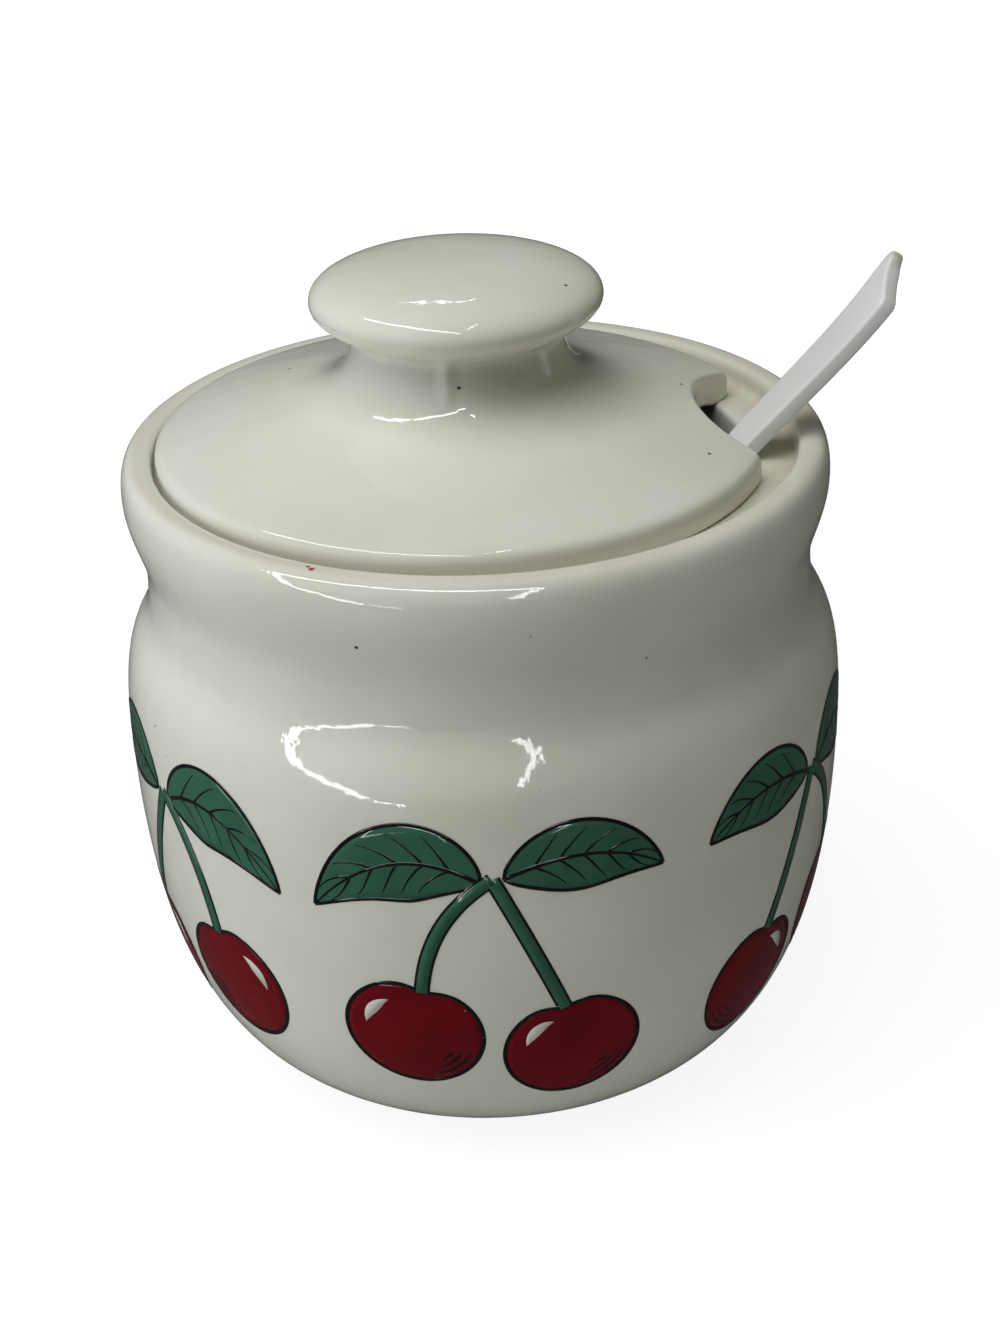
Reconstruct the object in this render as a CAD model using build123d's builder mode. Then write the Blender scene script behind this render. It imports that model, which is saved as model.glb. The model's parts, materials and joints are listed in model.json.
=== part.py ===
"""Jam pot: a bellied earthenware pot, a lid that sits in a gallery inside the pot's lip, and a plastic spoon.

Millimetres, +Z up, the pot's axis on Z and its foot on the plane z = 0. The front faces -Y. The spoon leans
out of a notch in the lid on the +X side.
"""

import os
from math import cos, radians, sin, sqrt

from build123d import *

# Outside of the pot, from the foot up
foot_radius = 28.0
foot_ring_width = 4.0
foot_recess = 1.2
belly_radius = 50.0
belly_height = 52.0
waist_radius = 45.5
shoulder_rise = 23.0
collar_radius = 47.8
neck_rise = 11.5
lip_rise = 4.4

# How far the outline keeps its direction beside each turning point
foot_run = 16.0
foot_lift = 3.0
belly_run_down = 30.0
belly_run_up = 18.0
waist_run_down = 11.0
waist_run_up = 4.0
collar_run_down = 4.5
collar_run_up = 2.9
crest_run = 1.5

# Inside of the pot
wall = 5.0
floor_thickness = 5.5
floor_radius = 22.0
floor_run = 15.0
mouth_radius = 37.0
ledge_depth = 2.9
ledge_thickness = 4.5
ledge_run = 3.0
ledge_rounding = 1.0
gallery_wall = 1.1

# Lid and knob, with heights from the ledge that the lid sits on
lid_radius = 41.3
lid_play = 2.1
lid_side_gap = 0.4
lid_edge_side = 2.2
lid_edge_turn = 2.0
lid_edge_rounding = 0.8
lid_seat_width = 3.6
lid_wall = 4.2
dome_radius = 23.8
dome_height = 8.6
dome_slope = 0.262
dome_run_out = 11.5
dome_run_in = 6.8
neck_radius = 14.2
neck_height = 18.0
neck_run_down = 5.0
neck_run_up = 0.8
knob_radius = 19.4
knob_height = 22.5
knob_run_down = 2.4
knob_run_up = 3.2
knob_crown = 4.9
crown_run = 12.8
drain_radius = 5.0
drain_depth = 8.0

# Spoon
spoon_length = 136.0
handle_thickness = 2.2
handle_neck_width = 5.6
handle_end_width = 9.2
handle_straight = 60.0
handle_rounding = 0.5
end_slant = 5.0
end_sweep = 2.2
end_tip_width = 3.6
end_rounding = 1.2
bowl_length = 38.0
bowl_width = 23.0
bowl_depth = 6.0
bowl_wall = 1.4
bowl_rounding = 0.4

# Where the spoon stands: its bowl's end low on the inside wall, its handle on the mouth's edge
handle_bearing = -5.3
heel_bearing = 194.0
heel_place = 0.31
heel_step = 0.01
heel_gap = 0.9
rest_gap = 0.4

# Notch in the lid's edge, which the handle comes out of
notch_radius = 20.0
notch_bearing = 19.0
notch_gap = 2.3
notch_rounding = 0.9

# Two points closer than this are the same point
touching = 0.001

# Levels and radii that follow from the sizes above
waist_height = belly_height + shoulder_rise
collar_height = waist_height + neck_rise
lip_height = collar_height + lip_rise
ledge_height = lip_height - ledge_depth
gallery_radius = lid_radius + lid_play
crest_radius = (collar_radius + gallery_radius) / 2
lid_shift = lid_play - lid_side_gap

# Inside curve from the floor up to the belly, shared by the pot and the spoon's resting place
inner_curve = (
    Vector(floor_radius, floor_thickness),
    Vector(floor_radius + floor_run, floor_thickness),
    Vector(belly_radius - wall, belly_height - belly_run_down),
    Vector(belly_radius - wall, belly_height),
)


def on_curve(points, place):
    """Point of the curve with these control points, from 0 at its start to 1 at its end."""
    while len(points) > 1:
        points = [start + (end - start) * place for start, end in zip(points[:-1], points[1:])]
    return points[0]


def at_bearing(radius, bearing, height):
    """Point at a radius from the pot's axis, in a direction in degrees from +X."""
    return Vector(radius * cos(radians(bearing)), radius * sin(radians(bearing)), height)


# Pot: one turned wall, with the gallery and its ledge inside the lip
with BuildPart() as pot:
    with BuildSketch(Plane.XZ) as pot_section:
        with BuildLine():
            foot_inside = foot_radius - foot_ring_width
            Polyline(
                (0, floor_thickness),
                (0, foot_recess),
                (foot_inside - foot_recess, foot_recess),
                (foot_inside, 0),
                (foot_radius, 0),
            )
            Bezier(
                (foot_radius, 0),
                (foot_radius + foot_run, foot_lift),
                (belly_radius, belly_height - belly_run_down),
                (belly_radius, belly_height),
            )
            Bezier(
                (belly_radius, belly_height),
                (belly_radius, belly_height + belly_run_up),
                (waist_radius, waist_height - waist_run_down),
                (waist_radius, waist_height),
            )
            Bezier(
                (waist_radius, waist_height),
                (waist_radius, waist_height + waist_run_up),
                (collar_radius, collar_height - collar_run_down),
                (collar_radius, collar_height),
            )
            Bezier(
                (collar_radius, collar_height),
                (collar_radius, collar_height + collar_run_up),
                (crest_radius + crest_run, lip_height),
                (crest_radius, lip_height),
            )
            Bezier(
                (crest_radius, lip_height),
                (crest_radius - crest_run, lip_height),
                (gallery_radius, lip_height),
                (gallery_radius, ledge_height + gallery_wall),
            )
            Polyline(
                (gallery_radius, ledge_height + gallery_wall),
                (gallery_radius, ledge_height),
                (mouth_radius, ledge_height),
                (mouth_radius, ledge_height - ledge_thickness),
            )
            Bezier(
                (mouth_radius, ledge_height - ledge_thickness),
                (mouth_radius, ledge_height - ledge_thickness - ledge_run),
                (waist_radius - wall, waist_height + waist_run_up),
                (waist_radius - wall, waist_height),
            )
            Bezier(
                (waist_radius - wall, waist_height),
                (waist_radius - wall, waist_height - waist_run_down),
                (belly_radius - wall, belly_height + belly_run_up),
                (belly_radius - wall, belly_height),
            )
            Bezier(*reversed(inner_curve))
            Line((floor_radius, floor_thickness), (0, floor_thickness))
        make_face()
        corners = pot_section.vertices()
        ledge_corners = corners.filter_by(lambda corner: abs(corner.Y - ledge_height) < touching)
        fillet(ledge_corners, ledge_rounding)
    revolve(axis=Axis.Z)

# Spoon's line: from its heel inside the pot to where its underside crosses the mouth's edge
heel = on_curve(inner_curve, heel_place)
heel_ahead = on_curve(inner_curve, heel_place + heel_step) - heel
heel_inward = Vector(-heel_ahead.Y, heel_ahead.X).normalized() * heel_gap
heel_point = at_bearing(heel.X + heel_inward.X, heel_bearing, heel.Y + heel_inward.Y)
mouth_point = at_bearing(mouth_radius, handle_bearing, ledge_height)
spoon_line = mouth_point - heel_point
spoon_reach = spoon_line.length
spoon_along = spoon_line.normalized()
spoon_across = Vector(0, 0, 1).cross(spoon_along).normalized()
spoon_up = spoon_along.cross(spoon_across)
spoon_plane = Plane(
    origin=mouth_point + spoon_up * (rest_gap + handle_thickness), x_dir=spoon_along, z_dir=spoon_up
)
spoon_side = Plane(origin=spoon_plane.origin, x_dir=spoon_along, z_dir=-spoon_across)
print("spoon axis", tuple(spoon_along))

# Notch centre: beside the handle where it passes the lid's underside
pass_point = spoon_plane.origin + spoon_along * ((ledge_height - spoon_plane.origin.Z) / spoon_along.Z)
notch_centre = pass_point + at_bearing(notch_radius - notch_gap, notch_bearing, 0)

# Lid: dome and knob turned as one, notched for the spoon
lid_axis = Axis((-lid_shift, 0, ledge_height), (0, 0, 1))
with BuildPart() as lid:
    with BuildSketch(Plane(origin=lid_axis.position, x_dir=(-1, 0, 0), z_dir=(0, 1, 0))) as lid_section:
        with BuildLine():
            seat_inside = lid_radius - lid_seat_width
            underside = dome_height - lid_wall
            drain_height = underside + lid_wall * dome_slope
            Polyline((seat_inside, 0), (lid_radius, 0), (lid_radius, lid_edge_side))
            Bezier(
                (lid_radius, lid_edge_side),
                (lid_radius, lid_edge_side + lid_edge_turn),
                (dome_radius + dome_run_out, dome_height - dome_run_out * dome_slope),
                (dome_radius, dome_height),
            )
            Bezier(
                (dome_radius, dome_height),
                (dome_radius - dome_run_in, dome_height + dome_run_in * dome_slope),
                (neck_radius, neck_height - neck_run_down),
                (neck_radius, neck_height),
            )
            Bezier(
                (neck_radius, neck_height),
                (neck_radius, neck_height + neck_run_up),
                (knob_radius, knob_height - knob_run_down),
                (knob_radius, knob_height),
            )
            Bezier(
                (knob_radius, knob_height),
                (knob_radius, knob_height + knob_run_up),
                (crown_run, knob_height + knob_crown),
                (0, knob_height + knob_crown),
            )
            Line((0, knob_height + knob_crown), (0, drain_height + drain_depth + drain_radius))
            RadiusArc(
                (0, drain_height + drain_depth + drain_radius),
                (drain_radius, drain_height + drain_depth),
                drain_radius,
            )
            Line((drain_radius, drain_height + drain_depth), (drain_radius, drain_height))
            Bezier(
                (drain_radius, drain_height),
                (dome_radius, underside),
                (dome_radius + dome_run_out, underside - dome_run_out * dome_slope),
                (seat_inside, 0),
            )
        make_face()
        seat_corners = lid_section.vertices().filter_by(lambda corner: abs(corner.Y) < touching)
        fillet(seat_corners.sort_by(Axis.X)[-1], lid_edge_rounding)
    revolve(axis=lid_axis)
    with BuildSketch(Plane.XY.offset(ledge_height)):
        with Locations((notch_centre.X, notch_centre.Y)):
            Circle(notch_radius)
    extrude(amount=knob_height, mode=Mode.SUBTRACT)
    notch_wall = lid.faces(Select.LAST).filter_by(GeomType.CYLINDER).sort_by(Axis.X)[-1]
    fillet(notch_wall.edges(), notch_rounding)


def along_spoon(shape):
    """Place of a shape's middle along the spoon, from the mouth's edge."""
    return spoon_plane.to_local_coords(shape.center()).X


# Spoon bowl: the lower slice of a lemon shape, hollowed by a smaller one
bowl_start = -spoon_reach
bowl_end = bowl_start + bowl_length
bowl_middle = bowl_start + bowl_length / 2
bowl_arc_radius = ((bowl_length / 2) ** 2 + bowl_depth**2) / (2 * bowl_depth)
bowl_arc_height = bowl_arc_radius - bowl_depth
bowl_axis_height = ((bowl_width / 2) ** 2 - bowl_depth**2) / (2 * bowl_depth)
bowl_axis = Axis(spoon_plane.from_local_coords(Vector(0, 0, bowl_axis_height)), spoon_along)
slices = []
for arc_radius in (bowl_arc_radius, bowl_arc_radius - bowl_wall):
    tip = sqrt(arc_radius**2 - (bowl_arc_height - bowl_axis_height) ** 2)
    with BuildPart() as lemon:
        with BuildSketch(spoon_side):
            with BuildLine():
                ThreePointArc(
                    (bowl_middle - tip, bowl_axis_height),
                    (bowl_middle, bowl_arc_height - arc_radius),
                    (bowl_middle + tip, bowl_axis_height),
                )
                Line((bowl_middle + tip, bowl_axis_height), (bowl_middle - tip, bowl_axis_height))
            make_face()
        revolve(axis=bowl_axis)
        split(bisect_by=spoon_plane, keep=Keep.BOTTOM)
    slices.append(lemon.part)
bowl_outside, bowl_hollow = slices
with BuildPart() as bowl:
    add(bowl_outside)
    add(bowl_hollow, mode=Mode.SUBTRACT)
    fillet(bowl.faces().filter_by(spoon_plane).edges(), bowl_rounding)

# Spoon: strip handle with a slanted end, and the bowl
with BuildPart() as spoon:
    handle_start = bowl_end - bowl_depth
    handle_end = bowl_start + spoon_length
    near_corner = (handle_end - end_slant, -handle_end_width / 2)
    tip_corner = (handle_end, handle_end_width / 2 - end_tip_width)
    far_corner = (handle_end, handle_end_width / 2)
    with BuildSketch(spoon_plane) as handle_outline:
        with BuildLine():
            Bezier(
                (handle_start, -handle_neck_width / 2),
                (handle_start + handle_straight, -handle_neck_width / 2),
                near_corner,
            )
            Bezier(
                near_corner,
                (near_corner[0] + end_sweep, near_corner[1] + end_sweep),
                (tip_corner[0] - end_sweep, tip_corner[1]),
                tip_corner,
            )
            Line(tip_corner, far_corner)
            Bezier(
                far_corner,
                (handle_start + handle_straight, handle_neck_width / 2),
                (handle_start, handle_neck_width / 2),
            )
            Line((handle_start, handle_neck_width / 2), (handle_start, -handle_neck_width / 2))
        make_face()
        end_corners = handle_outline.vertices().filter_by(lambda corner: corner.X > near_corner[0] - touching)
        fillet(end_corners, end_rounding)
    extrude(amount=-handle_thickness)
    handle_edges = spoon.faces().filter_by(spoon_plane).edges()
    root_edges = handle_edges.filter_by(lambda edge: along_spoon(edge) < handle_start + touching)
    fillet(handle_edges - root_edges, handle_rounding)
    add(bowl_hollow, mode=Mode.SUBTRACT)
    add(bowl.part)

os.makedirs("parts", exist_ok=True)
for name, piece in (("pot", pot), ("lid", lid), ("spoon", spoon)):
    piece.part.label = name
    export_step(piece.part, f"parts/{name}.step")
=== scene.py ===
"""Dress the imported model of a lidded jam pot: cream glaze, a fruit print, a knobbed lid and a plastic spoon.

Every piece is built in metres in the frame of the CAD model: +Z up, the front towards -Y, the spoon at +X.
"""

import json
from math import atan2, cos, exp, hypot, pi, radians, sin, sqrt, tau

import bmesh
import bpy
from bpy.props import FloatProperty, FloatVectorProperty, IntProperty, PointerProperty
from bpy.types import Operator, Panel, PropertyGroup
from mathutils import Matrix, Vector


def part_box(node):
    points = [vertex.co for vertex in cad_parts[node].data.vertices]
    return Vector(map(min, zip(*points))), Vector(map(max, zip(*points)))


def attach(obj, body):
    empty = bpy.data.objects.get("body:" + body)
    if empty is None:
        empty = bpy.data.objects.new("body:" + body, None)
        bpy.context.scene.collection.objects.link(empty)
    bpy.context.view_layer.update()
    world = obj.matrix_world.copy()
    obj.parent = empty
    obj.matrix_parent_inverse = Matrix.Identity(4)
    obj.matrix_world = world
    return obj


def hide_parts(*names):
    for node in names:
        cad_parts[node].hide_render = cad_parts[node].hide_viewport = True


bl_info = {
    "name": "Jam Pot",
    "version": (1, 0, 0),
    "blender": (4, 5, 0),
    "location": "View3D > Sidebar > Jam Pot",
    "description": "Builds a glazed jam pot with its lid, spoon and fruit print over the packed model",
    "category": "Object",
}

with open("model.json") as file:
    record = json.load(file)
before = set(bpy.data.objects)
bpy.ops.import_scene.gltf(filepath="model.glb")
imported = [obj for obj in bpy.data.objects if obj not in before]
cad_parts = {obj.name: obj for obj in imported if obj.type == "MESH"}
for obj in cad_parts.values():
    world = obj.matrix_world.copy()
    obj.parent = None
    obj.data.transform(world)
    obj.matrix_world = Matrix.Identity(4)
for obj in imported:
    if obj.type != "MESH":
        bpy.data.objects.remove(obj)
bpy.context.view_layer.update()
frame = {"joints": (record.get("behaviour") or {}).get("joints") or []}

MM = 0.001
UP = Vector((0, 0, 1))
MERGE = 1e-6


# Properties that a user would change

def labelled(group):
    """Names each property of the group after its key."""
    for key, made in group.__annotations__.items():
        made.keywords["name"] = key.replace("_", " ").capitalize()
    return group


def mm(default, description):
    """A length, with its default in mm."""
    return FloatProperty(description=description, default=default * MM, precision=5, unit="LENGTH")


def count(default, description):
    """A whole number of copies or steps."""
    return IntProperty(description=description, default=default, min=1)


def tint(default, description):
    """A linear colour."""
    return FloatVectorProperty(
        description=description, default=default, size=3, min=0, max=1, subtype="COLOR"
    )


@labelled
class PotSizes(PropertyGroup):
    """Sizes of the pot's half section"""

    foot_radius: mm(28, "Outside radius of the foot ring")
    foot_inside: mm(24, "Inside radius of the foot ring's flat face")
    foot_recess: mm(1.2, "How far the base is raised inside the foot ring")
    foot_flare: mm(16, "How far the belly runs out before it turns up")
    foot_lift: mm(3, "How far the belly lifts over that run")
    belly_radius: mm(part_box("pot")[1].x / MM, "Outside radius where the belly is widest")
    belly_height: mm(52, "Height where the belly is widest")
    belly_drop: mm(30, "How far the belly stays wide below that height")
    shoulder_rise: mm(18, "How far the belly stays wide above that height")
    waist_radius: mm(45.5, "Outside radius of the waist")
    waist_height: mm(75, "Height of the waist")
    waist_drop: mm(11, "How far the waist stays narrow below")
    waist_rise: mm(4, "How far the waist stays narrow above")
    collar_radius: mm(47.8, "Outside radius of the collar")
    collar_height: mm(86.5, "Height where the collar is widest")
    collar_drop: mm(4.5, "How far the collar stays wide below")
    lip_radius: mm(45.6, "Radius of the lip's crest")
    lip_height: mm(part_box("pot")[1].z / MM, "Height of the lip's crest")
    gallery_radius: mm(43.4, "Radius of the gallery that the lid lies in")
    gallery_corner: mm(0.9, "Rounding of the gallery's corner")
    ledge_corner: mm(1, "Rounding of the ledge's edge")
    ledge_height: mm(88, "Height of the ledge that carries the lid")
    mouth_radius: mm(37, "Radius of the mouth inside the ledge")
    mouth_height: mm(83.5, "Height of the lower end of the mouth's straight wall")
    throat_radius: mm(40.5, "Inside radius at the waist")
    wall: mm(5, "Thickness of the belly's wall")
    floor_radius: mm(22, "Radius of the flat floor inside")
    floor_height: mm(5.5, "Height of the floor inside")
    steps: count(192, "Steps of the turned section")


@labelled
class LidSizes(PropertyGroup):
    """Sizes of the lid's half section, with heights from the ledge"""

    shift: mm(1.7, "How far the lid is pushed away from the spoon")
    radius: mm(41.3, "Radius of the lid's edge")
    seat_inside: mm(37.7, "Inside radius of the seat under the edge")
    edge_corner: mm(0.8, "Rounding of the edge's lower corner")
    edge_height: mm(2.2, "Height of the edge's upright side")
    dome_radius: mm(23.8, "Radius where the dome turns up to the knob")
    dome_height: mm(8.6, "Height where the dome turns up to the knob")
    neck_radius: mm(14.2, "Radius of the knob's neck")
    neck_height: mm(18, "Height where the neck turns out under the knob")
    neck_drop: mm(5, "How far the neck stays upright below")
    neck_rise: mm(0.8, "How far the neck stays upright above")
    knob_radius: mm(19.4, "Radius of the knob")
    knob_height: mm(22.5, "Height where the knob is widest")
    knob_drop: mm(2.4, "How far the knob stays wide below")
    knob_rise: mm(3.2, "How far the knob stays wide above")
    crown_run: mm(12.8, "How far the knob's top stays flat from its middle")
    height: mm(27.4, "Height of the knob's top")
    core_radius: mm(5, "Radius of the hollow cast up into the knob")
    core_mouth: mm(5.5, "Height of the hollow's mouth")
    core_height: mm(18.5, "Height of the hollow's round end")
    notch_radius: mm(20, "Radius of the notch in the edge")
    notch_x: mm(50.09, "Place of the notch's centre along X")
    notch_y: mm(2.11, "Place of the notch's centre along Y")
    notch_ear: mm(3, "Softness of the two ears beside the notch")
    steps: count(180, "Steps of the turned section beside the notch")
    notch_steps: count(150, "Steps of the turned section over the notch")


@labelled
class SpoonSizes(PropertyGroup):
    """Sizes of the spoon, along its face"""

    bearing: FloatProperty(
        description="Bearing at which the handle leaves the mouth", default=radians(-5.3), subtype="ANGLE"
    )
    rest_gap: mm(0.4, "Gap between the handle and the mouth's edge")
    standing_out: mm(32.28, "How far the handle reaches past the mouth's edge")
    whole_length: mm(136, "Length from the bowl's tip to the handle's tip")
    thickness: mm(2.2, "Thickness of the handle")
    bowl_length: mm(38, "Length of the bowl")
    bowl_width: mm(23, "Width of the bowl")
    bowl_depth: mm(6, "Depth of the bowl outside")
    bowl_wall: mm(1.4, "Thickness of the bowl's wall")
    root_overlap: mm(6, "How far the handle runs on over the bowl")
    root_width: mm(5.6, "Width of the handle at the bowl")
    end_width: mm(9.2, "Width of the handle at its end")
    end_slant: mm(5, "How much shorter the handle's near edge is")
    nib_width: mm(2.6, "Width of the rounded nib at the handle's far corner")
    end_corner: mm(0.5, "Rounding of the end's near corner")
    edge_round: mm(0.42, "Rounding along the handle's edges")
    bend: mm(4.5, "How strongly the handle bends upwards outside the pot")


@labelled
class PrintSizes(PropertyGroup):
    """Sizes of the fruit print on the belly"""

    sprigs: count(6, "Sprigs round the belly")
    cherry_radius: mm(9.4, "Radius of a cherry")
    leaf_width: mm(11, "Width of a leaf")
    stem_width: mm(1.5, "Width of a stem")
    line_width: mm(0.5, "Width of the outlines")
    film: mm(0.012, "Thickness of each printed layer")


@labelled
class Colours(PropertyGroup):
    """Colours of the glaze, the print, the plastic and the floor"""

    glaze: tint((0.77, 0.775, 0.695), "Cream glaze")
    glaze_deep: tint((0.71, 0.71, 0.615), "Cream glaze where it lies thicker")
    glaze_thin: tint((0.66, 0.52, 0.40), "Glaze where the body shows through at an edge")
    # Pooled glaze in the gallery's corner, with painted shade under the spoon laid into the same brown
    glaze_pooled: tint((0.47, 0.40, 0.28), "Glaze gathered in the gallery's corner")
    clay: tint((0.62, 0.52, 0.41), "Bare fired clay on the foot ring")
    pinhole: tint((0.06, 0.05, 0.04), "Dark pinhole in the glaze")
    chip: tint((0.33, 0.07, 0.035), "Chip in the lip")
    red: tint((0.18, 0.003, 0.009), "Red of the print")
    green: tint((0.044, 0.148, 0.094), "Green of the print")
    ink: tint((0.008, 0.008, 0.009), "Outlines of the print")
    plastic: tint((0.84, 0.865, 0.85), "Spoon's white plastic")
    stain: tint((0.46, 0.40, 0.19), "Old stain at the handle's tip")
    floor: tint((0.86, 0.86, 0.86), "Pale floor")


@labelled
class JamPot(PropertyGroup):
    """Everything that sets the jam pot's looks"""

    pot: PointerProperty(type=PotSizes)
    lid: PointerProperty(type=LidSizes)
    spoon: PointerProperty(type=SpoonSizes)
    print: PointerProperty(type=PrintSizes)
    colours: PointerProperty(type=Colours)


# Sections and meshes

def bezier_point(controls, share):
    """Point of a Bezier curve at this share of the way."""
    level = [Vector(control) for control in controls]
    while len(level) > 1:
        level = [a.lerp(b, share) for a, b in zip(level, level[1:])]
    return level[0]


def curve(steps, *controls):
    """Points along a Bezier curve, without its last point."""
    return [bezier_point(controls, step / steps) for step in range(steps)]


def upright(start, leave, end, arrive):
    """Controls of a curve that leaves its start and reaches its end upright."""
    return start, (start[0], start[1] + leave), (end[0], end[1] - arrive), end


def share_at(controls, height):
    """Share of the way at which a rising Bezier curve reaches this height."""
    low, high = 0.0, 1.0
    for _ in range(26):
        middle = (low + high) / 2
        if bezier_point(controls, middle).y < height:
            low = middle
        else:
            high = middle
    return low


def heading(path, share):
    """Direction of a path at this share of the way."""
    return (path(min(share + 0.01, 1)) - path(max(share - 0.01, 0))).normalized()


def soft_corner(before, corner, after, radius, steps=4):
    """Points that round the corner between two straight runs."""
    corner = Vector(corner)
    start = corner + (Vector(before) - corner).normalized() * radius
    end = corner + (Vector(after) - corner).normalized() * radius
    return curve(steps, start, corner, end) + [end]


def height_at(points, radius):
    """Height of a run of (radius, height) points at this radius."""
    for a, b in zip(points, points[1:]):
        if min(a.x, b.x) <= radius <= max(a.x, b.x) and a.x != b.x:
            return a.y + (b.y - a.y) * (radius - a.x) / (b.x - a.x)
    return min(points, key=lambda point: abs(point.x - radius)).y


def smoothstep(low, high, value):
    """Smooth ramp from 0 at low to 1 at high."""
    share = min(max((value - low) / (high - low), 0), 1)
    return share * share * (3 - 2 * share)


def add_section(mesh, section, centre_x, bearing):
    """Draws a half section into the mesh, upright at this bearing."""
    verts = [
        mesh.verts.new((centre_x + point.x * cos(bearing), point.x * sin(bearing), point.y))
        for point in section
    ]
    edges = [mesh.edges.new(pair) for pair in zip(verts, verts[1:])]
    return verts + edges


def close_up(mesh):
    """Merges doubles and turns the faces outwards."""
    bmesh.ops.remove_doubles(mesh, verts=mesh.verts, dist=MERGE)
    bmesh.ops.recalc_face_normals(mesh, faces=mesh.faces)


def turn_faces(mesh, outward):
    """Turns the faces whose normals go against the outward direction at each."""
    for face in mesh.faces:
        face.normal_update()
    wrong = [face for face in mesh.faces if face.normal.dot(outward(face)) < 0]
    bmesh.ops.reverse_faces(mesh, faces=wrong)


def paint(mesh, name, amount):
    """Writes a share from 0 to 1 on every vertex, from its place."""
    layer = mesh.verts.layers.float.new(name)
    for vert in mesh.verts:
        vert[layer] = amount(vert.co)


def placed(name, data):
    """A new object with this data, in the scene."""
    made = bpy.data.objects.new(name, data)
    bpy.context.scene.collection.objects.link(made)
    return made


def finish_piece(name, mesh, body, node, materials, sharp_angle=radians(42)):
    """Makes the object, smooth but for its real corners, and hands it to the frame."""
    data = bpy.data.meshes.new(name)
    mesh.to_mesh(data)
    mesh.free()
    data.shade_smooth()
    data.set_sharp_from_angle(angle=sharp_angle)
    piece = placed(name, data)
    for material in materials:
        data.materials.append(material)
    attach(piece, body)
    if node:
        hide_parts(node)
    return piece


# Materials

def put(tree, kind, inputs=None, **settings):
    """Adds a shader node; each input is a plain value or the output of another node."""
    node = tree.nodes.new("ShaderNode" + kind)
    for name, value in settings.items():
        setattr(node, name, value)
    for name, value in (inputs or {}).items():
        if isinstance(value, bpy.types.NodeSocket):
            tree.links.new(value, node.inputs[name])
        else:
            node.inputs[name].default_value = value
    return node


def mixed(tree, share, first, second):
    """Colour that goes from the first to the second by the share."""
    first, second = (
        end if isinstance(end, bpy.types.NodeSocket) else (*end, 1) for end in (first, second)
    )
    return put(tree, "Mix", {0: share, 6: first, 7: second}, data_type="RGBA").outputs[2]


def dimmed(colour, share):
    """Colour darkened to this share of itself."""
    return tuple(share * part for part in colour)


def maths(tree, operation, first, second):
    """Result of one Math node."""
    return put(tree, "Math", {0: first, 1: second}, operation=operation).outputs[0]


def ramped(tree, value, low, high, to_low=0.0, to_high=1.0):
    """Value moved from one range to another and held within it."""
    inputs = {"Value": value, "From Min": low, "From Max": high, "To Min": to_low, "To Max": to_high}
    return put(tree, "MapRange", inputs).outputs["Result"]


def noise(tree, where, scale, detail=3.0, roughness=0.5):
    """Noise on the object's own coordinates."""
    inputs = {"Vector": where, "Scale": scale, "Detail": detail, "Roughness": roughness}
    return put(tree, "TexNoise", inputs).outputs["Fac"]


def start_material(name):
    """A new material with an empty tree, and the object's own coordinates."""
    material = bpy.data.materials.new(name)
    material.use_nodes = True
    tree = material.node_tree
    tree.nodes.clear()
    where = put(tree, "TexCoord").outputs["Object"]
    return material, tree, where


def end_material(tree, inputs):
    """Shader and output of the material."""
    shader = put(tree, "BsdfPrincipled", inputs)
    put(tree, "OutputMaterial", {"Surface": shader.outputs[0]})


def end_glazed(tree, colour, roughness, relief, depth, level):
    """Shader and output of a glazed material, with this relief in its gloss."""
    bump = put(tree, "Bump", {"Height": relief, "Distance": depth})
    end_material(tree, {
        "Base Color": colour, "Roughness": roughness, "Normal": bump.outputs["Normal"],
        "IOR": 1.52, "Specular IOR Level": level,
    })


def painted(tree, name):
    """Share painted on the vertices under this name."""
    return put(tree, "Attribute", attribute_name=name).outputs["Fac"]


def spots(tree, where, places):
    """Share that is 1 inside any of these (point, radius) spots."""
    total = 0.0
    for point, radius in places:
        gap = put(tree, "VectorMath", {0: where, 1: point}, operation="DISTANCE").outputs["Value"]
        total = maths(tree, "MAXIMUM", total, ramped(tree, gap, radius, radius * 0.55))
    return total


def specks(tree, where, scale, size, rare):
    """Scattered specks: a few of the cells of a coarse Voronoi, each a small round dot."""
    cells = put(tree, "TexVoronoi", {"Vector": where, "Scale": scale})
    chosen = put(tree, "SeparateColor", {"Color": cells.outputs["Color"]}).outputs["Red"]
    return maths(
        tree, "MULTIPLY",
        maths(tree, "GREATER_THAN", chosen, 1 - rare),
        ramped(tree, cells.outputs["Distance"], size, size * 0.5),
    )


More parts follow.
